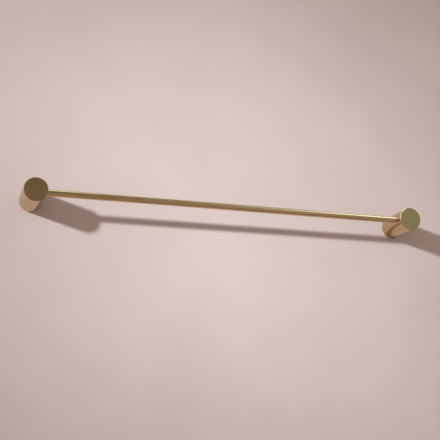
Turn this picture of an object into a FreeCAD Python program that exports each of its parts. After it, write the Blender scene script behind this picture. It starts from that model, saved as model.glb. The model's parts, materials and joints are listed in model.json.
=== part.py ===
import FreeCAD
import Part
import Sketcher
import enum
import math
import os

# Wall-mounted towel rail: a round brass rail held between two cylindrical posts.
# Each post slides over a disc that is screwed to the wall, and a grub screw locks it there.
# Frame: +X along the rail, +Y into the wall, +Z up. The wall is the plane Y = 0, and the
# origin lies on it, midway between the axes of the two posts.

# Driving dimensions in millimetres, one cell of the sheet each
SIZES = {
    "overall_length": 750.0,
    "post_diameter": 42.5,
    "post_projection": 80.0,
    "post_wall": 4.75,
    "post_web": 8.0,
    "post_edge": 0.5,
    "rail_diameter": 12.0,
    "rail_wall": 1.2,
    "rail_setback": 18.0,
    "rail_overrun": 6.0,
    "socket_clearance": 0.05,
    "socket_end_gap": 0.5,
    "plug_length": 20.0,
    "plug_clearance": 0.03,
    "seal_section": 1.5,
    "seal_inset": 6.0,
    "seal_clearance": 0.02,
    "seal_side_gap": 0.25,
    "gasket_thickness": 0.5,
    "gasket_inset": 0.5,
    "bracket_thickness": 12.0,
    "bracket_clearance": 0.1,
    "bracket_edge": 0.8,
    "bracket_rim": 1.5,
    "wall_screw_diameter": 5.0,
    "wall_screw_length": 45.0,
    "wall_screw_tip": 6.0,
    "wall_screw_thread_depth": 0.5,
    "wall_screw_hole_clearance": 0.25,
    "wall_screw_head_diameter": 9.5,
    "wall_screw_head_height": 3.0,
    "wall_screw_head_edge": 0.9,
    "wall_screw_head_sink": 1.0,
    "cross_recess_span": 4.6,
    "cross_recess_width": 1.2,
    "cross_recess_depth": 1.8,
    "washer_diameter": 10.0,
    "washer_thickness": 1.0,
    "washer_bore_clearance": 0.15,
    "washer_side_clearance": 0.4,
    "rail_screw_diameter": 5.0,
    "rail_screw_bite": 6.75,
    "rail_screw_hole_clearance": 0.25,
    "rail_screw_head_diameter": 8.5,
    "rail_screw_head_height": 5.0,
    "rail_screw_key": 4.0,
    "rail_screw_key_depth": 2.5,
    "lock_washer_diameter": 9.2,
    "lock_washer_thickness": 1.2,
    "lock_washer_clearance": 0.1,
    "lock_washer_split": 0.8,
    "grub_screw_diameter": 5.0,
    "grub_screw_recess": 0.75,
    "grub_screw_tip_gap": 0.03,
    "grub_screw_key": 2.5,
    "grub_screw_key_depth": 2.0,
    "thread_clearance": 0.03,
    "screw_edge": 0.4,
}

# Sizes and places that follow from them, as expressions of the sheet's cells
HALF_SPACING = "(sizes.overall_length - sizes.post_diameter) / 2"
POST_RADIUS = "sizes.post_diameter / 2"
BORE_RADIUS = f"({POST_RADIUS} - sizes.post_wall)"
RAIL_AXIS = "(sizes.post_projection - sizes.rail_setback)"
RAIL_RADIUS = "sizes.rail_diameter / 2"
SOCKET_DIAMETER = "(sizes.rail_diameter + 2 * sizes.socket_clearance)"
SOCKET_DEPTH = "(sizes.rail_overrun + sizes.socket_end_gap)"
BORE_FLOOR = f"({RAIL_AXIS} - {SOCKET_DIAMETER} / 2 - sizes.post_web)"
SEAL_STATION = f"({POST_RADIUS} - sizes.seal_inset)"
SEAL_RADIUS = f"({RAIL_RADIUS} + sizes.seal_clearance + sizes.seal_section / 2)"
BRACKET_RADIUS = f"({BORE_RADIUS} - sizes.bracket_clearance)"
COUNTERBORE_DIAMETER = "(sizes.washer_diameter + 2 * sizes.washer_side_clearance)"
COUNTERBORE_DEPTH = (
    "(sizes.washer_thickness + sizes.wall_screw_head_height + sizes.wall_screw_head_sink)"
)
WASHER_SEAT = f"(sizes.bracket_thickness - {COUNTERBORE_DEPTH})"
FIXING_OFFSET = f"({BRACKET_RADIUS} - sizes.bracket_rim - {COUNTERBORE_DIAMETER} / 2)"
GRUB_STATION = "sizes.bracket_thickness / 2"

# Turns from a piece's own axis, its local Z, to the frame
OUT_OF_WALL = FreeCAD.Rotation(FreeCAD.Vector(1, 0, 0), 90)
ALONG_RAIL = FreeCAD.Rotation(FreeCAD.Vector(0, 1, 0), 90)
DOWNWARD = FreeCAD.Rotation(FreeCAD.Vector(1, 0, 0), 180)

SIDES = {"left": -1, "right": 1}
LEVELS = {"upper": 1, "lower": -1}

# Size of an outline before its constraints are solved
DRAFT_SIZE = 10.0


class Axis(enum.IntEnum):
    """Numbers by which a sketch knows its own axes."""

    H = -1
    V = -2


class Point(enum.IntEnum):
    """Numbers by which a sketch knows a curve's points."""

    START = 1
    END = 2
    CENTRE = 3


doc = FreeCAD.newDocument("towel_rail")
pieces = []


def make_sheet():
    sheet = doc.addObject("Spreadsheet::Sheet", "sizes")
    for row, (alias, value) in enumerate(SIZES.items(), start=1):
        sheet.set(f"A{row}", alias)
        sheet.set(f"B{row}", str(value))
        sheet.setAlias(f"B{row}", alias)
    doc.recompute()


def place(piece, turn, right="0", back="0", up="0"):
    """Turn a piece and bind its place in the frame to three expressions."""
    piece.Placement = FreeCAD.Placement(FreeCAD.Vector(), turn)
    for axis, distance in zip("xyz", (right, back, up)):
        piece.setExpression(f"Placement.Base.{axis}", distance)
    pieces.append(piece)


def new_body(label):
    return doc.addObject("PartDesign::Body", label)


def origin_plane(body, role):
    return next(plane for plane in body.Origin.OriginFeatures if plane.Role == role)


def new_sketch(body, role, lift):
    """An empty sketch on one of the body's own planes, lifted along the plane's normal."""
    sketch = body.newObject("Sketcher::SketchObject", f"{body.Label}_sketch")
    sketch.AttachmentSupport = (origin_plane(body, role), "")
    sketch.MapMode = "FlatFace"
    sketch.setExpression("AttachmentOffset.Base.z", lift)
    return sketch


def hold_point(sketch, curve, point, across, along):
    """Bind one point of a sketch to two coordinates."""
    for kind, axis, distance in (("DistanceX", Axis.V, across), ("DistanceY", Axis.H, along)):
        if distance == "0":
            sketch.addConstraint(Sketcher.Constraint("PointOnObject", curve, point, axis))
        else:
            bound = Sketcher.Constraint(kind, Axis.H, Point.START, curve, point, DRAFT_SIZE)
            index = sketch.addConstraint(bound)
            sketch.setExpression(f"Constraints[{index}]", distance)


def outline(body, role, corners, lift="0"):
    """A closed outline of straight edges with each corner at a pair of expressions."""
    sketch = new_sketch(body, role, lift)
    count = len(corners)
    turns = [2 * math.pi * i / count for i in range(count)]
    draft = [FreeCAD.Vector(DRAFT_SIZE * math.cos(a), DRAFT_SIZE * math.sin(a), 0) for a in turns]
    for i in range(count):
        sketch.addGeometry(Part.LineSegment(draft[i], draft[(i + 1) % count]))
    for i, (across, along) in enumerate(corners):
        previous = (i - 1) % count
        sketch.addConstraint(Sketcher.Constraint("Coincident", previous, Point.END, i, Point.START))
        hold_point(sketch, i, Point.START, across, along)
    return sketch


def circles(body, role, diameters, centre=("0", "0"), lift="0"):
    """Concentric circles: one for a disc or a hole, two for a ring."""
    sketch = new_sketch(body, role, lift)
    for diameter in diameters:
        draft = Part.Circle(FreeCAD.Vector(), FreeCAD.Vector(0, 0, 1), DRAFT_SIZE)
        curve = sketch.addGeometry(draft)
        hold_point(sketch, curve, Point.CENTRE, *centre)
        index = sketch.addConstraint(Sketcher.Constraint("Diameter", curve, DRAFT_SIZE))
        sketch.setExpression(f"Constraints[{index}]", diameter)
    return sketch


def revolve(body, corners):
    """A turned piece: corners are pairs of a radius and a height on the body's Z axis."""
    feature = body.newObject("PartDesign::Revolution", f"{body.Label}_turning")
    sketch = outline(body, "XZ_Plane", corners)
    feature.Profile = sketch
    feature.ReferenceAxis = (sketch, ["V_Axis"])
    feature.Angle = 360
    body.Tip = feature


def pad(body, sketch, length):
    feature = body.newObject("PartDesign::Pad", f"{body.Label}_pad")
    feature.Profile = sketch
    feature.setExpression("Length", length)


def cut(body, sketch, along_normal, depth=None):
    """Cut a sketch out of the body, to a depth or right through."""
    feature = body.newObject("PartDesign::Pocket", f"{body.Label}_cut")
    feature.Profile = sketch
    feature.Reversed = along_normal
    if depth is None:
        feature.Type = "ThroughAll"
    else:
        feature.setExpression("Length", depth)
    return feature


def mirror(body, role, features):
    feature = body.newObject("PartDesign::Mirrored", f"{body.Label}_mirror")
    feature.Originals = features
    feature.MirrorPlane = (origin_plane(body, role), [""])
    body.Tip = feature


def hexagon(across_flats):
    """Corners of a hexagonal key's socket."""
    turns = [60 * i for i in range(6)]
    radius = f"{across_flats} / sqrt(3)"
    return [(f"{radius} * cos({30 + a})", f"{radius} * sin({30 + a})") for a in turns]


def cross(span, width):
    """Corners of a cross-shaped driver recess."""
    far = f"{span} / 2"
    near = f"{width} / 2"
    quarter = [(far, near), (near, near), (near, far)]
    corners = list(quarter)
    for _ in range(3):
        quarter = [(f"-({v})", u) for u, v in quarter]
        corners += quarter
    return corners


def make_rail_tube():
    """Thin-walled rail with a screw hole in its back wall at each post's axis."""
    body = new_body("rail_tube")
    length = f"(2 * ({HALF_SPACING}) + 2 * sizes.rail_overrun)"
    bore = "sizes.rail_diameter - 2 * sizes.rail_wall"
    ring = circles(body, "XY_Plane", ["sizes.rail_diameter", bore], lift=f"-{length} / 2")
    pad(body, ring, length)
    hole = "sizes.rail_screw_diameter + 2 * sizes.rail_screw_hole_clearance"
    drilling = cut(body, circles(body, "XZ_Plane", [hole], ("0", HALF_SPACING)), False)
    mirror(body, "XY_Plane", [drilling])
    place(body, ALONG_RAIL, back=f"-{RAIL_AXIS}")


def make_rail_plug(side, sign):
    """Solid insert in the rail's end, tapped across for the rail screw."""
    body = new_body(f"{side}_rail_plug")
    diameter = "sizes.rail_diameter - 2 * sizes.rail_wall - 2 * sizes.plug_clearance"
    disc = circles(body, "XY_Plane", [diameter], lift="-sizes.plug_length / 2")
    pad(body, disc, "sizes.plug_length")
    tapping = "sizes.rail_screw_diameter + 2 * sizes.thread_clearance"
    station = f"{sign} * (sizes.plug_length / 2 - sizes.rail_overrun)"
    lift = "-sizes.rail_diameter / 2"
    cut(body, circles(body, "XZ_Plane", [tapping], ("0", station), lift), True)
    centre = f"{sign} * ({HALF_SPACING} + sizes.rail_overrun - sizes.plug_length / 2)"
    place(body, ALONG_RAIL, right=centre, back=f"-{RAIL_AXIS}")


def make_post(side, sign):
    """Turned post, hollow from the wall side, with a blind socket that takes the rail's end."""
    body = new_body(f"{side}_post")
    back = "sizes.gasket_thickness"
    front = "sizes.post_projection"
    face_radius = f"{POST_RADIUS} - sizes.post_edge"
    profile = [
        (BORE_RADIUS, back),
        (face_radius, back),
        (POST_RADIUS, f"{back} + sizes.post_edge"),
        (POST_RADIUS, f"{front} - sizes.post_edge"),
        (face_radius, front),
        ("0", front),
        ("0", BORE_FLOOR),
        (BORE_RADIUS, BORE_FLOOR),
    ]
    revolve(body, profile)

    # Rail socket and the wider groove in it for the seal, both open towards the other post
    inward = sign < 0
    on_rail = ("0", RAIL_AXIS)
    socket_floor = f"{sign} * {SOCKET_DEPTH}"
    cut(body, circles(body, "YZ_Plane", [SOCKET_DIAMETER], on_rail, socket_floor), inward)
    groove = f"2 * ({SEAL_RADIUS} + sizes.seal_section / 2 + sizes.seal_clearance)"
    groove_width = "(sizes.seal_section + 2 * sizes.seal_side_gap)"
    groove_start = f"{-sign} * ({SEAL_STATION} - {groove_width} / 2)"
    cut(body, circles(body, "YZ_Plane", [groove], on_rail, groove_start), inward, groove_width)

    # Hole for the rail screw through the web between the cavity and the socket
    hole = "sizes.rail_screw_diameter + 2 * sizes.rail_screw_hole_clearance"
    web = circles(body, "XY_Plane", [hole], lift=BORE_FLOOR)
    cut(body, web, True, f"{RAIL_AXIS} - {BORE_FLOOR}")

    # Tapped hole for the grub screw through the underside, level with the middle of the disc
    tapping = "sizes.grub_screw_diameter + 2 * sizes.thread_clearance"
    cut(body, circles(body, "XZ_Plane", [tapping], ("0", GRUB_STATION)), True)
    place(body, OUT_OF_WALL, right=f"{sign} * {HALF_SPACING}")


def make_rail_seal(side, sign):
    """Sealing ring round the rail inside the socket's groove."""
    ring = doc.addObject("Part::Torus", f"{side}_rail_seal")
    ring.setExpression("Radius1", SEAL_RADIUS)
    ring.setExpression("Radius2", "sizes.seal_section / 2")
    station = f"{sign} * ({HALF_SPACING} - {SEAL_STATION})"
    place(ring, ALONG_RAIL, right=station, back=f"-{RAIL_AXIS}")


def make_gasket(side, sign):
    """Thin ring between the post's rim and the wall."""
    body = new_body(f"{side}_gasket")
    outer = "sizes.post_diameter - 2 * sizes.gasket_inset"
    inner = f"2 * ({BORE_RADIUS} + sizes.gasket_inset)"
    pad(body, circles(body, "XY_Plane", [outer, inner]), "sizes.gasket_thickness")
    place(body, OUT_OF_WALL, right=f"{sign} * {HALF_SPACING}")


def make_wall_bracket(side, sign):
    """Disc on the wall that the post slides over, with two counterbored screw holes."""
    body = new_body(f"{side}_wall_bracket")
    front = "sizes.bracket_thickness"
    profile = [
        ("0", "0"),
        (BRACKET_RADIUS, "0"),
        (BRACKET_RADIUS, f"{front} - sizes.bracket_edge"),
        (f"{BRACKET_RADIUS} - sizes.bracket_edge", front),
        ("0", front),
    ]
    revolve(body, profile)
    at = ("0", FIXING_OFFSET)
    hole = "sizes.wall_screw_diameter + 2 * sizes.wall_screw_hole_clearance"
    through = cut(body, circles(body, "XY_Plane", [hole], at, front), False)
    seat = circles(body, "XY_Plane", [COUNTERBORE_DIAMETER], at, front)
    counterbore = cut(body, seat, False, COUNTERBORE_DEPTH)
    mirror(body, "XZ_Plane", [through, counterbore])
    place(body, OUT_OF_WALL, right=f"{sign} * {HALF_SPACING}")


def make_wall_screw(side, sign, level, rise):
    """Pan-head screw: a plain neck through the disc, then the thread from the wall's face on."""
    body = new_body(f"{side}_{level}_wall_screw")
    thread = "sizes.wall_screw_diameter / 2"
    neck = f"{thread} - sizes.wall_screw_thread_depth"
    head = "sizes.wall_screw_head_diameter / 2"
    seat = f"{WASHER_SEAT} + sizes.washer_thickness"
    top = f"{seat} + sizes.wall_screw_head_height"
    point = f"{seat} - sizes.wall_screw_length"
    profile = [
        ("0", point),
        (thread, f"{point} + sizes.wall_screw_tip"),
        (thread, "0"),
        (neck, "0"),
        (neck, seat),
        (head, seat),
        (head, f"{top} - sizes.wall_screw_head_edge"),
        (f"{head} - sizes.wall_screw_head_edge", top),
        ("0", top),
    ]
    revolve(body, profile)
    recess = cross("sizes.cross_recess_span", "sizes.cross_recess_width")
    cut(body, outline(body, "XY_Plane", recess, top), False, "sizes.cross_recess_depth")
    place(body, OUT_OF_WALL, right=f"{sign} * {HALF_SPACING}", up=f"{rise} * {FIXING_OFFSET}")


def make_washer(side, sign, level, rise):
    """Flat washer on the floor of the counterbore."""
    body = new_body(f"{side}_{level}_washer")
    bore = "sizes.wall_screw_diameter + 2 * sizes.washer_bore_clearance"
    ring = circles(body, "XY_Plane", ["sizes.washer_diameter", bore], lift=WASHER_SEAT)
    pad(body, ring, "sizes.washer_thickness")
    place(body, OUT_OF_WALL, right=f"{sign} * {HALF_SPACING}", up=f"{rise} * {FIXING_OFFSET}")


def make_rail_screw(side, sign):
    """Socket-head screw from the post's cavity through the web into the rail's insert."""
    body = new_body(f"{side}_rail_screw")
    shank = "sizes.rail_screw_diameter / 2"
    head = "sizes.rail_screw_head_diameter / 2"
    seat = f"{BORE_FLOOR} - sizes.lock_washer_thickness"
    base = f"{seat} - sizes.rail_screw_head_height"
    point = f"{RAIL_AXIS} - {RAIL_RADIUS} + sizes.rail_screw_bite"
    profile = [
        ("0", base),
        (f"{head} - sizes.screw_edge", base),
        (head, f"{base} + sizes.screw_edge"),
        (head, seat),
        (shank, seat),
        (shank, f"{point} - sizes.screw_edge"),
        (f"{shank} - sizes.screw_edge", point),
        ("0", point),
    ]
    revolve(body, profile)
    key = outline(body, "XY_Plane", hexagon("sizes.rail_screw_key"), base)
    cut(body, key, True, "sizes.rail_screw_key_depth")
    place(body, OUT_OF_WALL, right=f"{sign} * {HALF_SPACING}")


def make_lock_washer(side, sign):
    """Split ring between the rail screw's head and the web."""
    body = new_body(f"{side}_lock_washer")
    bore = "sizes.rail_screw_diameter + 2 * sizes.lock_washer_clearance"
    lift = f"{BORE_FLOOR} - sizes.lock_washer_thickness"
    pad(body, circles(body, "XY_Plane", ["sizes.lock_washer_diameter", bore], lift=lift),
        "sizes.lock_washer_thickness")
    half_split = "sizes.lock_washer_split / 2"
    split = [
        ("0", f"-{half_split}"),
        ("sizes.lock_washer_diameter", f"-{half_split}"),
        ("sizes.lock_washer_diameter", half_split),
        ("0", half_split),
    ]
    cut(body, outline(body, "XY_Plane", split, lift), True)
    place(body, OUT_OF_WALL, right=f"{sign} * {HALF_SPACING}")


def make_grub_screw(side, sign):
    """Headless screw in the post's underside, its flat tip against the disc's rim."""
    body = new_body(f"{side}_grub_screw")
    radius = "sizes.grub_screw_diameter / 2"
    tip = f"({BRACKET_RADIUS} + sizes.grub_screw_tip_gap)"
    length = f"({POST_RADIUS} - sizes.grub_screw_recess - {tip})"
    profile = [
        ("0", "0"),
        (f"{radius} - sizes.screw_edge", "0"),
        (radius, "sizes.screw_edge"),
        (radius, f"{length} - sizes.screw_edge"),
        (f"{radius} - sizes.screw_edge", length),
        ("0", length),
    ]
    revolve(body, profile)
    key = outline(body, "XY_Plane", hexagon("sizes.grub_screw_key"), length)
    cut(body, key, False, "sizes.grub_screw_key_depth")
    place(body, DOWNWARD, right=f"{sign} * {HALF_SPACING}", back=f"-{GRUB_STATION}", up=f"-{tip}")


def check_model():
    """Stop on a failed feature, a cut that removes nothing or a piece that isn't one sound solid."""
    for item in doc.Objects:
        if "Invalid" in item.State or "Error" in item.State:
            raise RuntimeError(f"{item.Label} did not compute: {item.State}")
    for item in doc.findObjects("PartDesign::Pocket"):
        if item.Shape.Volume >= item.BaseFeature.Shape.Volume:
            raise RuntimeError(f"{item.Label} cuts nothing")
    for piece in pieces:
        if piece.Shape.isNull() or not piece.Shape.isValid() or len(piece.Shape.Solids) != 1:
            raise RuntimeError(f"{piece.Label} is not one sound solid")


make_sheet()
make_rail_tube()
for side, sign in SIDES.items():
    make_rail_plug(side, sign)
    make_post(side, sign)
    make_rail_seal(side, sign)
    make_gasket(side, sign)
    make_wall_bracket(side, sign)
    for level, rise in LEVELS.items():
        make_wall_screw(side, sign, level, rise)
        make_washer(side, sign, level, rise)
    make_rail_screw(side, sign)
    make_lock_washer(side, sign)
    make_grub_screw(side, sign)
doc.recompute()
check_model()

os.makedirs("parts", exist_ok=True)
for piece in pieces:
    piece.Shape.exportStep(os.path.join("parts", f"{piece.Label}.step"))
    print(f"{piece.Label}: {piece.Shape.Volume:.1f} cubic mm")
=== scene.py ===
import json
import math

import bmesh
import bpy
from mathutils import Matrix, Vector


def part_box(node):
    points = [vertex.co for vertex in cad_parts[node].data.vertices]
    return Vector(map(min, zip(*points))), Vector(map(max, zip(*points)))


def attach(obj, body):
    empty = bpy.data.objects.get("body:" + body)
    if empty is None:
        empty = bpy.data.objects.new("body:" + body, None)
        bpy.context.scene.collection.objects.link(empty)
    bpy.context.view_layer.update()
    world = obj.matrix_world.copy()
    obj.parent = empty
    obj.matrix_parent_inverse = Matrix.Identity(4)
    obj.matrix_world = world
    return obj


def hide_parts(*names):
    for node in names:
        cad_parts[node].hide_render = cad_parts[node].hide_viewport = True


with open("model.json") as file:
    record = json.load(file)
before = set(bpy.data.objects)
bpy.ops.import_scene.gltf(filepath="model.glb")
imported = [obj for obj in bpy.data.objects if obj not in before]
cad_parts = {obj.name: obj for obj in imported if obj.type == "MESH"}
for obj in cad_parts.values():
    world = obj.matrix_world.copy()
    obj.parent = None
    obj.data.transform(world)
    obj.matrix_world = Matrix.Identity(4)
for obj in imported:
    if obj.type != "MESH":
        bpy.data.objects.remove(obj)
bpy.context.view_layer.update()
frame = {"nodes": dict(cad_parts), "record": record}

# Frame: +X along the rail, +Y into the wall, +Z up, in metres. Each turned piece is built round its
# own local Z axis and then set in its place.
MM = 0.001
SIDES = {"left": -1, "right": 1}
LEVELS = ("upper", "lower")
QUARTER_TURN = math.radians(90)
OUT_OF_WALL = Matrix.Rotation(QUARTER_TURN, 4, "X")
INTO_WALL = Matrix.Rotation(-QUARTER_TURN, 4, "X")
ALONG_RAIL = Matrix.Rotation(QUARTER_TURN, 4, "Y")
DOWNWARD = Matrix.Rotation(2 * QUARTER_TURN, 4, "X")

BODIES = frame["record"]["behaviour"]["bodies"]
BODY_OF = {node: body for body, nodes in BODIES.items() for node in nodes}
SLOT_OF = {row["node"]: row["material_slot"] for row in frame["record"]["subparts"]}

# Fineness of the meshes, and the reach within which points are welded after a cut
POST_SEGMENTS = 240
RAIL_SEGMENTS = 128
SMALL_SEGMENTS = 64
THREAD_SEGMENTS = 20
BEND_STEPS = 6
WELD = 0.002 * MM
SMOOTH_ANGLE = math.radians(32)

# Turned edges and fits that the frame's boxes don't give
POST_FRONT_EDGE = 0.6 * MM
POST_BACK_BEND = 0.4 * MM
POST_MOUTH = 0.5 * MM
BORE_CLEARANCE = 0.1 * MM
SOCKET_CLEARANCE = 0.05 * MM
SOCKET_END_GAP = 0.5 * MM
GROOVE_CLEARANCE = 0.02 * MM
GROOVE_SIDE_GAP = 0.25 * MM
THREAD_CLEARANCE = 0.03 * MM
GRUB_MOUTH = 0.35 * MM
RAIL_WALL = 1.2 * MM
RAIL_END_EDGE = 0.3 * MM
DRILLED_STRETCH = 40 * MM
DISC_FRONT_BEND = 0.8 * MM
DISC_BACK_EDGE = 0.3 * MM
DISC_SEAT_EDGE = 0.3 * MM
WASHER_SIDE_CLEARANCE = 0.4 * MM
WASHER_BORE_CLEARANCE = 0.15 * MM
WASHER_BEND = 0.2 * MM
LOCK_WASHER_BORE_CLEARANCE = 0.1 * MM
LOCK_WASHER_SPLIT = 0.8 * MM
LOCK_WASHER_EDGE = 0.12 * MM
CUT_MARGIN = 2 * MM

# Screws and the holes that they pass through
SHANK_RADIUS = 2.5 * MM
SCREW_HOLE_CLEARANCE = 0.25 * MM
SCREW_HOLE = SHANK_RADIUS + SCREW_HOLE_CLEARANCE
SCREW_EDGE = 0.4 * MM
WALL_SCREW_NECK = 2.0 * MM
WALL_SCREW_ROOT = 1.7 * MM
WALL_SCREW_PITCH = 2.2 * MM
WALL_SCREW_TIP = 6 * MM
WALL_SCREW_HEAD_BEND = 1.8 * MM
WALL_SCREW_TURNS = {"upper": math.radians(25), "lower": math.radians(70)}
CROSS_SPAN = 4.6 * MM
CROSS_WIDTH = 1.2 * MM
CROSS_DEPTH = 1.8 * MM
MACHINE_ROOT = 2.1 * MM
MACHINE_PITCH = 0.8 * MM
CAP_KEY = 4.0 * MM
CAP_KEY_DEPTH = 2.5 * MM
CAP_KNURLS = 36
CAP_KNURL_DEPTH = 0.12 * MM
GRUB_KEY = 2.5 * MM
GRUB_KEY_DEPTH = 2.0 * MM
GRUB_CUP_RADIUS = 1.3 * MM
GRUB_CUP_DEPTH = 0.6 * MM

# Shares of a thread's pitch, of a key's width and of a cross recess's mouth
RIDGE_SHARE = 0.32
KEY_TIP_SHARE = 0.25
CROSS_FLOOR_SHARE = 0.6


def extent(node):
    """Size of a node's box."""
    low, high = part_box(node)
    return high - low


def middle(node):
    """Centre of a node's box."""
    low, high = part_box(node)
    return (low + high) / 2


def polar(radius, turn, height):
    """Point at a distance from the local axis, a turn round it and a height along it."""
    return Vector((radius * math.cos(turn), radius * math.sin(turn), height))


def ring(radius, height, segments):
    """One turn of points round the axis, or the single point on it."""
    if radius == 0:
        return [Vector((0, 0, height))]
    return [polar(radius, 2 * math.pi * step / segments, height) for step in range(segments)]


def turned(outline, segments):
    """One ring for each radius and height of an outline."""
    return [ring(radius, height, segments) for radius, height in outline]


def bend(radius, height, size, start, end):
    """Outline points on an arc about (radius, height), its angles in degrees."""
    angles = [math.radians(start + (end - start) * step / BEND_STEPS) for step in range(BEND_STEPS + 1)]
    return [(radius + size * math.cos(angle), height + size * math.sin(angle)) for angle in angles]


def bore(radius, start, end):
    """Outline of a plain drill."""
    return [(0, start), (radius, start), (radius, end), (0, end)]


def new_object(name, data):
    """An object in the scene that holds the data."""
    made = bpy.data.objects.new(name, data)
    bpy.context.scene.collection.objects.link(made)
    return made


def object_from(built, name):
    """An object in the scene with the mesh that was built."""
    data = bpy.data.meshes.new(name)
    built.to_mesh(data)
    built.free()
    return new_object(name, data)


def skin(name, rows, closed=False, slanted=False):
    """A piece through rows of points, each a ring or a single tip, with flat ends if it isn't closed.

    A slanted skin has its faces split along the rise of a right-hand thread.
    """
    built = bmesh.new()
    rings = [[built.verts.new(point) for point in row] for row in rows]
    pairs = list(zip(rings, rings[1:]))
    if closed:
        pairs.append((rings[-1], rings[0]))
    else:
        for end in (rings[0], rings[-1]):
            if len(end) > 1:
                built.faces.new(end)
    for low, high in pairs:
        for step in range(max(len(low), len(high))):
            near_low = low[step % len(low)]
            far_low = low[(step + 1) % len(low)]
            near_high = high[step % len(high)]
            far_high = high[(step + 1) % len(high)]
            if slanted and len(low) == len(high):
                built.faces.new((near_low, far_low, far_high))
                built.faces.new((near_low, far_high, near_high))
            else:
                built.faces.new(dict.fromkeys((near_low, far_low, far_high, near_high)))
    bmesh.ops.recalc_face_normals(built, faces=built.faces)
    return object_from(built, name)


def shape(piece, operation, tool, place=Matrix()):
    """Unite a tool with a piece or cut it out of it, weld doubled points and drop the tool."""
    tool.matrix_world = place
    modifier = piece.modifiers.new("shape", "BOOLEAN")
    modifier.operation = operation
    modifier.solver = "EXACT"
    modifier.object = tool
    bpy.context.view_layer.update()
    evaluated = piece.evaluated_get(bpy.context.evaluated_depsgraph_get())
    shaped = bpy.data.meshes.new_from_object(evaluated)
    built = bmesh.new()
    built.from_mesh(shaped)
    bmesh.ops.remove_doubles(built, verts=built.verts, dist=WELD)
    built.to_mesh(shaped)
    built.free()
    piece.modifiers.clear()
    piece.data = shaped
    bpy.data.objects.remove(tool)


def drill(piece, outline, place=Matrix()):
    """Cut out a turned tool."""
    shape(piece, "DIFFERENCE", skin("tool", turned(outline, SMALL_SEGMENTS)), place)


def set_in_place(piece, node, place):
    """Stand a finished piece where its node is, on the node's body and with its finish."""
    piece.matrix_world = place
    piece.data.shade_smooth()
    piece.data.set_sharp_from_angle(angle=SMOOTH_ANGLE)
    weighted = piece.modifiers.new("flat faces stay flat", "WEIGHTED_NORMAL")
    weighted.keep_sharp = True
    piece.data.materials.clear()
    piece.data.materials.append(FINISHES[SLOT_OF[node]])
    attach(piece, BODY_OF[node])
    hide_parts(node)


def post_place(side):
    """Local Z out of the wall, from the wall's face on the post's axis."""
    return Matrix.Translation((middle(f"{side}_post").x, 0, 0)) @ OUT_OF_WALL


def post_cavity(side):
    """Radius of the cavity that slides over the wall disc, and how far its floor stands from the wall."""
    radius = extent(f"{side}_wall_bracket").z / 2 + BORE_CLEARANCE
    floor = -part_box(f"{side}_lock_washer")[0].y
    return radius, floor


def post_outline(side):
    """Section of the hollow post, from the cavity's floor round the rim to the front."""
    low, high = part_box(f"{side}_post")
    radius = (high.z - low.z) / 2
    front = -low.y
    back = -high.y
    cavity, floor = post_cavity(side)
    return [
        (0, floor),
        (cavity, floor),
        (cavity, back + POST_MOUTH),
        (cavity + POST_MOUTH, back),
        *bend(radius - POST_BACK_BEND, back + POST_BACK_BEND, POST_BACK_BEND, -90, 0),
        (radius, front - POST_FRONT_EDGE),
        (radius - POST_FRONT_EDGE, front),
        (0, front),
    ]


def socket_outline(side):
    """Section of the rail's socket and its seal groove, measured out from the post's axis."""
    post = f"{side}_post"
    seal = f"{side}_rail_seal"
    axis = abs(middle(post).x)
    mouth = extent(post).z / 2 + CUT_MARGIN
    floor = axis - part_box("rail_tube")[1].x - SOCKET_END_GAP
    socket = extent("rail_tube").z / 2 + SOCKET_CLEARANCE
    groove = extent(seal).z / 2 + GROOVE_CLEARANCE
    groove_middle = axis - abs(middle(seal).x)
    groove_reach = extent(seal).x / 2 + GROOVE_SIDE_GAP
    return [
        (0, floor),
        (socket, floor),
        (socket, groove_middle - groove_reach),
        (groove, groove_middle - groove_reach),
        (groove, groove_middle + groove_reach),
        (socket, groove_middle + groove_reach),
        (socket, mouth),
        (0, mouth),
    ]


def grub_hole_outline(side):
    """Section of the grub screw's hole and its countersunk mouth, measured out from the post's axis."""
    hole = extent(f"{side}_grub_screw").x / 2 + THREAD_CLEARANCE
    radius = extent(f"{side}_post").z / 2
    start = post_cavity(side)[0] - CUT_MARGIN
    return [
        (0, start),
        (hole, start),
        (hole, radius - GRUB_MOUTH),
        (hole + GRUB_MOUTH + CUT_MARGIN, radius + CUT_MARGIN),
        (0, radius + CUT_MARGIN),
    ]


def make_post(side, sign):
    """Hollow turned post with its rail socket, seal groove, screw hole and grub hole."""
    node = f"{side}_post"
    piece = skin(f"{node}_turned", turned(post_outline(side), POST_SEGMENTS))
    rail_out = -middle("rail_tube").y
    towards_rail = Matrix.Rotation(-sign * QUARTER_TURN, 4, "Y")
    drill(piece, socket_outline(side), Matrix.Translation((0, 0, rail_out)) @ towards_rail)
    cavity_floor = post_cavity(side)[1]
    drill(piece, bore(SCREW_HOLE, cavity_floor - CUT_MARGIN, rail_out))
    grub_out = -middle(f"{side}_grub_screw").y
    towards_floor = Matrix.Rotation(QUARTER_TURN, 4, "X")
    drill(piece, grub_hole_outline(side), Matrix.Translation((0, 0, grub_out)) @ towards_floor)
    set_in_place(piece, node, post_place(side))


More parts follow.
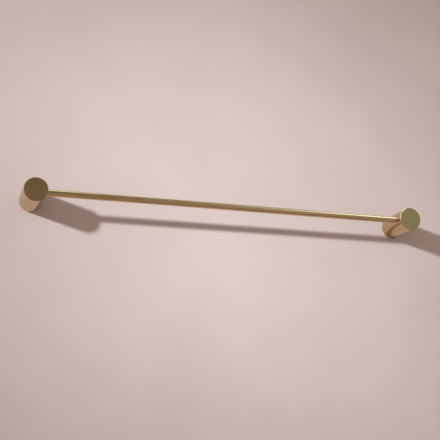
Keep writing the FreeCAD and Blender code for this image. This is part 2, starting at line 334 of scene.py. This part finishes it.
def make_rail():
    """Drawn tube, drilled through its back wall at each post's axis for the rail screws.

    Rings beside the drilled stretches keep the cuts out of the plain length between them.
    """
    half = extent("rail_tube").x / 2
    radius = extent("rail_tube").z / 2
    inner = radius - RAIL_WALL
    edge = RAIL_END_EDGE
    outline = [
        (radius - edge, -half),
        (radius, -half + edge),
        (radius, -half + DRILLED_STRETCH),
        (radius, half - DRILLED_STRETCH),
        (radius, half - edge),
        (radius - edge, half),
        (inner + edge, half),
        (inner, half - edge),
        (inner, half - DRILLED_STRETCH),
        (inner, -half + DRILLED_STRETCH),
        (inner, -half + edge),
        (inner + edge, -half),
    ]
    piece = skin("rail_tube_drawn", turned(outline, RAIL_SEGMENTS), closed=True)
    hole = bore(SCREW_HOLE, 0, radius + CUT_MARGIN)
    for side in SIDES:
        station = Matrix.Translation((0, 0, middle(f"{side}_post").x))
        drill(piece, hole, station @ INTO_WALL)
    set_in_place(piece, "rail_tube", Matrix.Translation(middle("rail_tube")) @ ALONG_RAIL)


def make_wall_disc(side):
    """Turned disc with a counterbored hole for each wall screw."""
    node = f"{side}_wall_bracket"
    size = extent(node)
    radius = size.z / 2
    front = size.y
    outline = [
        (0, 0),
        (radius - DISC_BACK_EDGE, 0),
        (radius, DISC_BACK_EDGE),
        *bend(radius - DISC_FRONT_BEND, front - DISC_FRONT_BEND, DISC_FRONT_BEND, 0, 90),
        (0, front),
    ]
    piece = skin(f"{side}_wall_disc_turned", turned(outline, POST_SEGMENTS))
    for level in LEVELS:
        washer = f"{side}_{level}_washer"
        seat = -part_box(washer)[1].y
        counterbore = extent(washer).z / 2 + WASHER_SIDE_CLEARANCE
        tool = [
            (0, -CUT_MARGIN),
            (SCREW_HOLE, -CUT_MARGIN),
            (SCREW_HOLE, seat),
            (counterbore, seat),
            (counterbore, front - DISC_SEAT_EDGE),
            (counterbore + DISC_SEAT_EDGE + CUT_MARGIN, front + CUT_MARGIN),
            (0, front + CUT_MARGIN),
        ]
        drill(piece, tool, Matrix.Translation((0, middle(washer).z, 0)))
    set_in_place(piece, node, post_place(side))


def thread_rows(bottom, top, root, pitch, taper=0.0):
    """Rings of a right-hand thread that fades out at both ends, or tapers at its bottom instead."""
    rise = pitch / THREAD_SEGMENTS
    rows = []
    for row in range(1, int((top - bottom) / rise)):
        climb = row * rise
        height = bottom + climb
        fade = min(1, (top - height) / pitch)
        narrowing = 1
        if taper:
            narrowing = min(1, climb / taper)
        else:
            fade = min(fade, climb / pitch)
        points = []
        for step in range(THREAD_SEGMENTS):
            phase = ((row - step) % THREAD_SEGMENTS) / THREAD_SEGMENTS
            ridge = max(0, 1 - abs(phase - 0.5) / RIDGE_SHARE)
            radius = narrowing * (root + (SHANK_RADIUS - root) * ridge * fade)
            points.append(polar(radius, 2 * math.pi * step / THREAD_SEGMENTS, height))
        rows.append(points)
    return rows


def hexagon(across_flats, height):
    """Corners of a hexagonal socket."""
    return ring(across_flats / math.sqrt(3), height, 6)


def key_tool(across_flats, mouth, depth):
    """Socket for a hexagonal key, drilled to a shallow point, downwards if its depth is positive."""
    floor = mouth - depth
    tip = floor - math.copysign(KEY_TIP_SHARE * across_flats, depth)
    outer = mouth + math.copysign(CUT_MARGIN, depth)
    return skin("tool", [hexagon(across_flats, outer), hexagon(across_flats, floor), ring(0, tip, 1)])


def cross(share, height):
    """Outline of a cross recess, at a share of its full span and width."""
    far = CROSS_SPAN / 2 * share
    near = CROSS_WIDTH / 2 * share
    quarter = [Vector((far, -near, height)), Vector((far, near, height)), Vector((near, near, height))]
    turns = [Matrix.Rotation(step * QUARTER_TURN, 3, "Z") for step in range(4)]
    return [turn @ corner for turn in turns for corner in quarter]


def make_wall_screw(side, level):
    """Pan-head screw with a plain neck through the disc, a coarse thread and a sharp point."""
    node = f"{side}_{level}_wall_screw"
    low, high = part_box(node)
    head = (high.x - low.x) / 2
    top = -low.y
    point = -high.y
    seat = -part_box(f"{side}_{level}_washer")[0].y
    crown = WALL_SCREW_HEAD_BEND
    outline = [(0, seat), (head, seat), *bend(head - crown, top - crown, crown, 0, 90), (0, top)]
    piece = skin(f"{node}_threaded", turned(outline, SMALL_SEGMENTS))
    rows = [ring(0, point, 1)]
    rows += thread_rows(point, 0, WALL_SCREW_ROOT, WALL_SCREW_PITCH, WALL_SCREW_TIP)
    rows += turned([(WALL_SCREW_NECK, 0), (WALL_SCREW_NECK, (seat + top) / 2)], THREAD_SEGMENTS)
    shape(piece, "UNION", skin("tool", rows, slanted=True))
    recess_floor = cross(CROSS_FLOOR_SHARE, top - CROSS_DEPTH)
    shape(piece, "DIFFERENCE", skin("tool", [recess_floor, cross(1, top), cross(1, top + CUT_MARGIN)]))
    piece.data.transform(Matrix.Rotation(WALL_SCREW_TURNS[level], 4, "Z"))
    axis = middle(node)
    set_in_place(piece, node, Matrix.Translation((axis.x, 0, axis.z)) @ OUT_OF_WALL)


def make_washer(side, level):
    """Punched washer with soft edges."""
    node = f"{side}_{level}_washer"
    size = extent(node)
    outer = size.z / 2
    inner = SHANK_RADIUS + WASHER_BORE_CLEARANCE
    half = size.y / 2
    soft = WASHER_BEND
    outline = [
        *bend(outer - soft, -half + soft, soft, -90, 0),
        *bend(outer - soft, half - soft, soft, 0, 90),
        (inner + soft, half),
        (inner, half - soft),
        (inner, -half),
    ]
    piece = skin(f"{node}_punched", turned(outline, SMALL_SEGMENTS), closed=True)
    set_in_place(piece, node, Matrix.Translation(middle(node)) @ OUT_OF_WALL)


def make_rail_screw(side):
    """Socket-head screw with a knurled head and a fine thread."""
    node = f"{side}_rail_screw"
    low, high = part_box(node)
    head = (high.x - low.x) / 2
    base = -high.y
    point = -low.y
    seat = -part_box(f"{side}_lock_washer")[1].y
    under_edge = SCREW_EDGE / 2
    outline = [
        (0, base),
        (head - SCREW_EDGE, base),
        (head, base + SCREW_EDGE),
        (head, seat - under_edge),
        (head - under_edge, seat),
        (0, seat),
    ]
    rows = turned(outline, 2 * CAP_KNURLS)
    head_side = rows[2:4]
    for row in head_side:
        for valley in row[::2]:
            valley.xy *= 1 - CAP_KNURL_DEPTH / head
    piece = skin(f"{node}_threaded", rows)
    shank = turned([(MACHINE_ROOT, (base + seat) / 2)], THREAD_SEGMENTS)
    shank += thread_rows(seat, point, MACHINE_ROOT, MACHINE_PITCH)
    shank += turned([(MACHINE_ROOT, point)], THREAD_SEGMENTS)
    shape(piece, "UNION", skin("tool", shank, slanted=True))
    shape(piece, "DIFFERENCE", key_tool(CAP_KEY, base, -CAP_KEY_DEPTH))
    set_in_place(piece, node, post_place(side))


def make_lock_washer(side):
    """Spring washer: a square wire bent into one turn and cut across."""
    node = f"{side}_lock_washer"
    size = extent(node)
    outer = size.z / 2
    inner = SHANK_RADIUS + LOCK_WASHER_BORE_CLEARANCE
    half = size.y / 2
    edge = LOCK_WASHER_EDGE
    section = [
        (inner + edge, -half),
        (outer - edge, -half),
        (outer, -half + edge),
        (outer, half - edge),
        (outer - edge, half),
        (inner + edge, half),
        (inner, half - edge),
        (inner, -half + edge),
    ]
    gap = LOCK_WASHER_SPLIT / outer
    rows = []
    for step in range(SMALL_SEGMENTS + 1):
        turn = gap / 2 + (2 * math.pi - gap) * step / SMALL_SEGMENTS
        rows.append([polar(radius, turn, height) for radius, height in section])
    piece = skin(f"{node}_bent", rows)
    set_in_place(piece, node, Matrix.Translation(middle(node)) @ OUT_OF_WALL)


def make_grub_screw(side):
    """Headless screw with a hexagonal socket at its outer end and a cup at its tip."""
    node = f"{side}_grub_screw"
    low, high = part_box(node)
    length = high.z - low.z
    end = SHANK_RADIUS - SCREW_EDGE
    rows = turned([(end, 0)], THREAD_SEGMENTS)
    rows += thread_rows(0, length, MACHINE_ROOT, MACHINE_PITCH)
    rows += turned([(end, length)], THREAD_SEGMENTS)
    piece = skin(f"{node}_threaded", rows, slanted=True)
    shape(piece, "DIFFERENCE", key_tool(GRUB_KEY, length, GRUB_KEY_DEPTH))
    cup = [
        (0, GRUB_CUP_DEPTH),
        (GRUB_CUP_RADIUS, 0),
        (GRUB_CUP_RADIUS, -CUT_MARGIN),
        (0, -CUT_MARGIN),
    ]
    drill(piece, cup)
    axis = middle(node)
    set_in_place(piece, node, Matrix.Translation((axis.x, axis.y, high.z)) @ DOWNWARD)


# Finishes. Most of a noise lies within its span.
NOISE_SPAN = (0.3, 0.7)
MARK_DEPTH = 0.05 * MM
PLASTER_DEPTH = 0.3 * MM

# Sockets of a colour mix, by number because the mixes of other kinds share their names
MIX_FACTOR = 0
MIX_A = 6
MIX_B = 7
MIX_RESULT = 2


def add(tree, kind, inputs, **settings):
    """A node with its settings, its inputs fed by other sockets or set to plain values."""
    node = tree.nodes.new(kind)
    for name, value in settings.items():
        setattr(node, name, value)
    for name, value in inputs.items():
        if isinstance(value, bpy.types.NodeSocket):
            tree.links.new(value, node.inputs[name])
        else:
            node.inputs[name].default_value = value
    return node


def new_finish(name, plain):
    """A material with its shader's plain values set, and the tree and shader to feed."""
    material = bpy.data.materials.new(name)
    material.use_nodes = True
    shader = material.node_tree.nodes["Principled BSDF"]
    for socket, value in plain.items():
        shader.inputs[socket].default_value = value
    return material, material.node_tree, shader


def feed(tree, shader, sockets):
    """Link sources to the shader's sockets by name."""
    for socket, source in sockets.items():
        tree.links.new(source, shader.inputs[socket])


def own_coordinates(tree):
    """Place on the piece, in its own frame."""
    return add(tree, "ShaderNodeTexCoord", {}).outputs["Object"]


def noise(tree, vector, scale, detail):
    """Soft noise over the places that the vector gives."""
    inputs = {"Vector": vector, "Scale": scale, "Detail": detail}
    return add(tree, "ShaderNodeTexNoise", inputs).outputs["Fac"]


def to_range(tree, value, source, target):
    """A value carried from one span to another and held at its ends."""
    inputs = {
        "Value": value,
        "From Min": source[0],
        "From Max": source[1],
        "To Min": target[0],
        "To Max": target[1],
    }
    return add(tree, "ShaderNodeMapRange", inputs).outputs["Result"]


def calculate(tree, operation, first, second):
    """One step of arithmetic on two values."""
    return add(tree, "ShaderNodeMath", {0: first, 1: second}, operation=operation).outputs["Value"]


def tones(tree, value, stops):
    """Colours along a value, each stop a position and a linear colour."""
    node = add(tree, "ShaderNodeValToRGB", {"Fac": value})
    ramp = node.color_ramp
    while len(ramp.elements) < len(stops):
        ramp.elements.new(1.0)
    for element, (position, colour) in zip(ramp.elements, stops):
        element.position = position
        element.color = (*colour, 1)
    return node.outputs["Color"]


def mix(tree, factor, first, second):
    """The first colour, turning into the second as the factor rises."""
    inputs = {MIX_FACTOR: factor, MIX_A: first, MIX_B: second}
    return add(tree, "ShaderNodeMix", inputs, data_type="RGBA").outputs[MIX_RESULT]


def relief(tree, height, strength, depth=MARK_DEPTH):
    """Surface raised by a height, up to the depth."""
    inputs = {"Height": height, "Strength": strength, "Distance": depth}
    return add(tree, "ShaderNodeBump", inputs).outputs["Normal"]


def lathe_coordinates(tree):
    """Distance out from a piece's own axis, height along it and the direction round it."""
    parts = add(tree, "ShaderNodeSeparateXYZ", {"Vector": own_coordinates(tree)})
    flat = add(tree, "ShaderNodeCombineXYZ", {"X": parts.outputs["X"], "Y": parts.outputs["Y"]})
    across = flat.outputs["Vector"]
    out = add(tree, "ShaderNodeVectorMath", {0: across}, operation="LENGTH").outputs["Value"]
    direction = add(tree, "ShaderNodeVectorMath", {0: across}, operation="NORMALIZE").outputs["Vector"]
    return out, parts.outputs["Z"], direction


def tool_marks(tree, lathe, scale, drift):
    """Fine lines round the axis, on sides and end faces alike, that drift a little on their way round."""
    out, along, direction = lathe
    lift = add(tree, "ShaderNodeCombineXYZ", {"Z": out}).outputs["Vector"]
    turn = add(tree, "ShaderNodeVectorMath", {0: direction, "Scale": drift / scale}, operation="SCALE")
    place = add(tree, "ShaderNodeVectorMath", {0: turn.outputs["Vector"], 1: lift}, operation="ADD")
    inputs = {"Vector": place.outputs["Vector"], "W": along, "Scale": scale, "Detail": 3.0}
    return add(tree, "ShaderNodeTexNoise", inputs, noise_dimensions="4D").outputs["Fac"]


def satin_brass():
    """Brass brushed round its axis and lacquered, with faint haze and slightly worn tone."""
    plain = {
        "Metallic": 1.0,
        "Specular Tint": (0.94, 0.89, 0.80, 1),
        "Coat Weight": 0.3,
        "Coat Roughness": 0.05,
        "Anisotropic": 0.35,
        "Anisotropic Rotation": 0.25,
    }
    material, tree, shader = new_finish("satin_brass", plain)
    lathe = lathe_coordinates(tree)
    brushing = tool_marks(tree, lathe, scale=5000, drift=4)
    bands = tool_marks(tree, lathe, scale=220, drift=2)
    haze = noise(tree, own_coordinates(tree), scale=28, detail=4)
    satin = to_range(tree, brushing, NOISE_SPAN, (0.14, 0.20))
    uneven = to_range(tree, calculate(tree, "ADD", bands, haze), (0.7, 1.3), (-0.02, 0.03))
    around = add(tree, "ShaderNodeTangent", {}, direction_type="RADIAL", axis="Z")
    feed(tree, shader, {
        "Base Color": tones(tree, haze, [(0.3, (0.56, 0.413, 0.208)), (0.7, (0.615, 0.46, 0.25))]),
        "Roughness": calculate(tree, "ADD", satin, uneven),
        "Normal": relief(tree, brushing, strength=0.05),
        "Tangent": around.outputs["Tangent"],
    })
    return material


def plain_brass():
    """Brass as it leaves the lathe, with lines round the rail's axis."""
    material, tree, shader = new_finish("plain_brass", {"Metallic": 1.0})
    stretch = add(tree, "ShaderNodeMapping", {"Vector": own_coordinates(tree), "Scale": (1, 0.02, 0.02)})
    marks = noise(tree, stretch.outputs["Vector"], scale=3000, detail=3)
    feed(tree, shader, {
        "Base Color": tones(tree, marks, [(0.35, (0.58, 0.40, 0.15)), (0.65, (0.66, 0.47, 0.20))]),
        "Roughness": to_range(tree, marks, NOISE_SPAN, (0.22, 0.34)),
        "Normal": relief(tree, marks, strength=0.2),
    })
    return material


def stainless_disc():
    """Turned stainless steel with rings from the tool."""
    material, tree, shader = new_finish("stainless_disc", {"Metallic": 1.0, "Anisotropic": 0.3})
    marks = tool_marks(tree, lathe_coordinates(tree), scale=2500, drift=2)
    stains = noise(tree, own_coordinates(tree), scale=90, detail=4)
    feed(tree, shader, {
        "Base Color": tones(tree, stains, [(0.3, (0.47, 0.47, 0.46)), (0.7, (0.56, 0.56, 0.55))]),
        "Roughness": to_range(tree, marks, NOISE_SPAN, (0.24, 0.38)),
        "Normal": relief(tree, marks, strength=0.25),
    })
    return material


def screw_steel():
    """Bright zinc plate with a patchy passive film."""
    material, tree, shader = new_finish("screw_steel", {"Metallic": 1.0})
    film = noise(tree, own_coordinates(tree), scale=350, detail=3)
    grain = noise(tree, own_coordinates(tree), scale=3500, detail=2)
    stops = [(0.3, (0.47, 0.49, 0.52)), (0.55, (0.56, 0.57, 0.57)), (0.75, (0.60, 0.57, 0.50))]
    feed(tree, shader, {
        "Base Color": tones(tree, film, stops),
        "Roughness": to_range(tree, grain, NOISE_SPAN, (0.22, 0.36)),
        "Normal": relief(tree, grain, strength=0.12),
    })
    return material


def black_steel():
    """Blackened steel, oiled, a little brown where it is handled."""
    material, tree, shader = new_finish("black_steel", {"Metallic": 0.85})
    wear = noise(tree, own_coordinates(tree), scale=500, detail=4)
    grain = noise(tree, own_coordinates(tree), scale=4000, detail=2)
    feed(tree, shader, {
        "Base Color": tones(tree, wear, [(0.4, (0.045, 0.045, 0.05)), (0.75, (0.10, 0.085, 0.07))]),
        "Roughness": to_range(tree, grain, NOISE_SPAN, (0.32, 0.48)),
        "Normal": relief(tree, grain, strength=0.15),
    })
    return material


def rubber(name, dark, pale, roughness):
    """Moulded or sheet rubber with a dusting of paler specks."""
    material, tree, shader = new_finish(name, {"Specular IOR Level": 0.35})
    specks = noise(tree, own_coordinates(tree), scale=1800, detail=4)
    feed(tree, shader, {
        "Base Color": tones(tree, specks, [(0.45, dark), (0.72, pale)]),
        "Roughness": to_range(tree, specks, NOISE_SPAN, roughness),
        "Normal": relief(tree, specks, strength=0.2),
    })
    return material


FINISHES = {
    "satin_brass": satin_brass(),
    "plain_brass": plain_brass(),
    "stainless_disc": stainless_disc(),
    "screw_steel": screw_steel(),
    "black_steel": black_steel(),
    "seal_rubber": rubber("seal_rubber", (0.012, 0.012, 0.012), (0.03, 0.03, 0.03), (0.47, 0.63)),
    "gasket_rubber": rubber("gasket_rubber", (0.50, 0.49, 0.45), (0.58, 0.57, 0.53), (0.72, 0.88)),
}

# Pieces
make_rail()
for side, sign in SIDES.items():
    make_post(side, sign)
    make_wall_disc(side)
    for level in LEVELS:
        make_wall_screw(side, level)
        make_washer(side, level)
    make_rail_screw(side)
    make_lock_washer(side)
    make_grub_screw(side)

# Nodes that keep their own shape: the inserts, seals and gaskets
for name, node in frame["nodes"].items():
    if not node.hide_render:
        node.data.materials.clear()
        node.data.materials.append(FINISHES[SLOT_OF[name]])

# Stage
WALL_GAP = 0.5 * MM
WALL_REACH = 2.5
WALL_TOP = 2.0
FLOOR_DROP = 1.3
FLOOR_REACH = 4.0
OPENING_MARGIN = 0.4 * MM


def wall_paint():
    """Plain pale plaster, seen from the room only, so that the back of the object stays in view."""
    material, tree, shader = new_finish("wall_paint", {"Roughness": 0.7, "Specular IOR Level": 0.3})
    patches = noise(tree, own_coordinates(tree), scale=4, detail=4)
    grain = noise(tree, own_coordinates(tree), scale=350, detail=3)
    feed(tree, shader, {
        "Base Color": tones(tree, patches, [(0.3, (0.61, 0.52, 0.51)), (0.7, (0.66, 0.566, 0.557))]),
        "Normal": relief(tree, grain, strength=0.15, depth=PLASTER_DEPTH),
    })
    clear = add(tree, "ShaderNodeBsdfTransparent", {})
    behind = add(tree, "ShaderNodeNewGeometry", {}).outputs["Backfacing"]
    inputs = {0: behind, 1: shader.outputs["BSDF"], 2: clear.outputs["BSDF"]}
    either = add(tree, "ShaderNodeMixShader", inputs)
    tree.links.new(either.outputs["Shader"], tree.nodes["Material Output"].inputs["Surface"])
    return material


def floor_paint():
    """Plain pale floor with faint patches."""
    material, tree, shader = new_finish("floor_paint", {"Roughness": 0.75, "Specular IOR Level": 0.3})
    patches = noise(tree, own_coordinates(tree), scale=3, detail=4)
    feed(tree, shader, {
        "Base Color": tones(tree, patches, [(0.3, (0.72, 0.64, 0.595)), (0.7, (0.78, 0.70, 0.655))]),
    })
    return material


def flat_stage(name, corners, openings, material):
    """A flat stage piece with round openings cut in it."""
    built = bmesh.new()
    for loop in (corners, *openings):
        verts = [built.verts.new(point) for point in loop]
        for first, second in zip(verts, verts[1:] + verts[:1]):
            built.edges.new((first, second))
    bmesh.ops.triangle_fill(built, edges=built.edges, use_beauty=True, normal=(0, 0, 1))
    piece = object_from(built, name)
    piece.data.materials.append(material)
    return piece


def rectangle(reach, low, high):
    """Corners of a rectangle that reaches as far to the left as to the right."""
    return [Vector((x, y, 0)) for x, y in ((-reach, low), (reach, low), (reach, high), (-reach, high))]


def outline_on_wall(node):
    """Circle on the wall just inside a round node's edge."""
    around = ring(extent(node).z / 2 - OPENING_MARGIN, 0, SMALL_SEGMENTS)
    return [point + Vector((middle(node).x, 0, 0)) for point in around]


def make_stage():
    """The floor, and the wall, open behind each disc and letting light through to each gasket's back."""
    paint = wall_paint()
    place = Matrix.Translation((0, WALL_GAP, 0)) @ OUT_OF_WALL
    openings = []
    for side in SIDES:
        outer = outline_on_wall(f"{side}_gasket")
        inner = outline_on_wall(f"{side}_wall_bracket")
        openings.append(outer)
        band = flat_stage(f"wall_behind_{side}_gasket", outer, [inner], paint)
        band.matrix_world = place
        band.visible_diffuse = False
        band.visible_shadow = False
    wall = flat_stage("wall", rectangle(WALL_REACH, -FLOOR_DROP, WALL_TOP), openings, paint)
    wall.matrix_world = place
    floor = flat_stage("floor", rectangle(FLOOR_REACH, -FLOOR_REACH, FLOOR_REACH), [], floor_paint())
    floor.location.z = -FLOOR_DROP


make_stage()

# Light. The key's pool on the wall is given by its radius, its soft share and its shape.
KEY_HEADING = Vector((1.345, 1.0, -0.380)).normalized()
KEY_DISTANCE = 12.0
KEY_IRRADIANCE = 4.55
KEY_SPREAD = math.radians(4.0)
KEY_POOL = 0.74
KEY_POOL_SOFTNESS = 0.7
KEY_POOL_SHAPE = (0.65, 1, 1)
KEY_COLOUR = (0.95, 1.0, 1.02)
# Tones of the room from its far left to its far right, then of what lies behind the wall's plane
ROOM_TONES = [
    (0.0, (0.60, 0.42, 0.33)),
    (0.39, (0.57, 0.44, 0.36)),
    (0.46, (0.20, 0.165, 0.12)),
    (0.55, (0.19, 0.155, 0.11)),
    (0.61, (0.34, 0.31, 0.285)),
    (0.675, (0.57, 0.54, 0.52)),
    (0.72, (0.325, 0.385, 0.364)),
    (0.78, (0.34, 0.30, 0.26)),
    (0.85, (0.52, 0.41, 0.34)),
    (1.0, (0.55, 0.40, 0.32)),
]
REAR_TONE = (0.80, 0.78, 0.76, 1)
REAR_EDGE = (-0.05, 0.05)
# Bright panels of the room, which only gloss shows, each with the headings that bound it
LEFT_PANEL = {
    "tone": (2.5, 2.7, 3.3, 1),
    "edges": [
        ((-1, 0, 0), (0.35, 0.40)),
        ((0, -1, 0), (0.18, 0.28)),
        ((0, 1, 0), (-0.65, -0.55)),
        ((0, 0, 1), (0.02, 0.10)),
    ],
}
RIGHT_PANEL = {
    "tone": (2.4, 2.7, 3.5, 1),
    "edges": [((1, 0, 0), (0.35, 0.40)), ((-0.84, -0.09, 0.54), (0.0, 0.06))],
}
OVERHEAD_PANEL = {
    "tone": (3.4, 3.6, 4.6, 1),
    "edges": [((-1, 0, 0), (-0.15, -0.10)), ((0, 0, 1), (0.88, 0.94))],
}


def make_world():
    """A dim room in front of the wall with bright panels in it, and a pale rear and backdrop."""
    world = bpy.data.worlds.new("room")
    world.use_nodes = True
    bpy.context.scene.world = world
    tree = world.node_tree
    heading = add(tree, "ShaderNodeTexCoord", {}).outputs["Generated"]
    parts = add(tree, "ShaderNodeSeparateXYZ", {"Vector": heading})
    room = tones(tree, to_range(tree, parts.outputs["X"], (-1, 1), (0, 1)), ROOM_TONES)
    rear = to_range(tree, parts.outputs["Y"], REAR_EDGE, (0, 1))
    around = mix(tree, rear, room, REAR_TONE)
    path = add(tree, "ShaderNodeLightPath", {})
    for panel in (LEFT_PANEL, RIGHT_PANEL, OVERHEAD_PANEL):
        share = path.outputs["Is Glossy Ray"]
        for towards, edge in panel["edges"]:
            both = {0: heading, 1: towards}
            nearness = add(tree, "ShaderNodeVectorMath", both, operation="DOT_PRODUCT").outputs["Value"]
            share = calculate(tree, "MULTIPLY", to_range(tree, nearness, edge, (0, 1)), share)
        around = mix(tree, share, around, panel["tone"])
    seen = mix(tree, path.outputs["Is Camera Ray"], around, REAR_TONE)
    tree.links.new(seen, tree.nodes["Background"].inputs["Color"])


def make_key():
    """A far spot from the upper left that lights the wall round the object and leaves the floor dim."""
    lamp = bpy.data.lights.new("key", "SPOT")
    lamp.energy = KEY_IRRADIANCE * 4 * math.pi * KEY_DISTANCE ** 2
    lamp.shadow_soft_size = KEY_DISTANCE * math.tan(KEY_SPREAD / 2)
    lamp.spot_size = 2 * math.atan(KEY_POOL / KEY_DISTANCE)
    lamp.spot_blend = KEY_POOL_SOFTNESS
    lamp.color = KEY_COLOUR
    key = new_object("key", lamp)
    key.location = -KEY_DISTANCE * KEY_HEADING
    key.rotation_euler = KEY_HEADING.to_track_quat("-Z", "Y").to_euler()
    key.scale = KEY_POOL_SHAPE
    key.visible_glossy = False


make_world()
make_key()

# Camera, below the rail and to its left, looking up at it
CAMERA_PLACE = (-0.5463, -1.7838, -0.4795)
CAMERA_TILT = math.radians(104.15)
CAMERA_TURN = math.radians(-17.0)
CAMERA_LENS = 83.9


def make_camera():
    """The view that the object is shown in."""
    lens = bpy.data.cameras.new("camera")
    lens.lens = CAMERA_LENS
    camera = new_object("camera", lens)
    camera.location = CAMERA_PLACE
    camera.rotation_euler = (CAMERA_TILT, 0, CAMERA_TURN)
    bpy.context.scene.camera = camera


make_camera()
bpy.context.scene.view_settings.view_transform = "Standard"
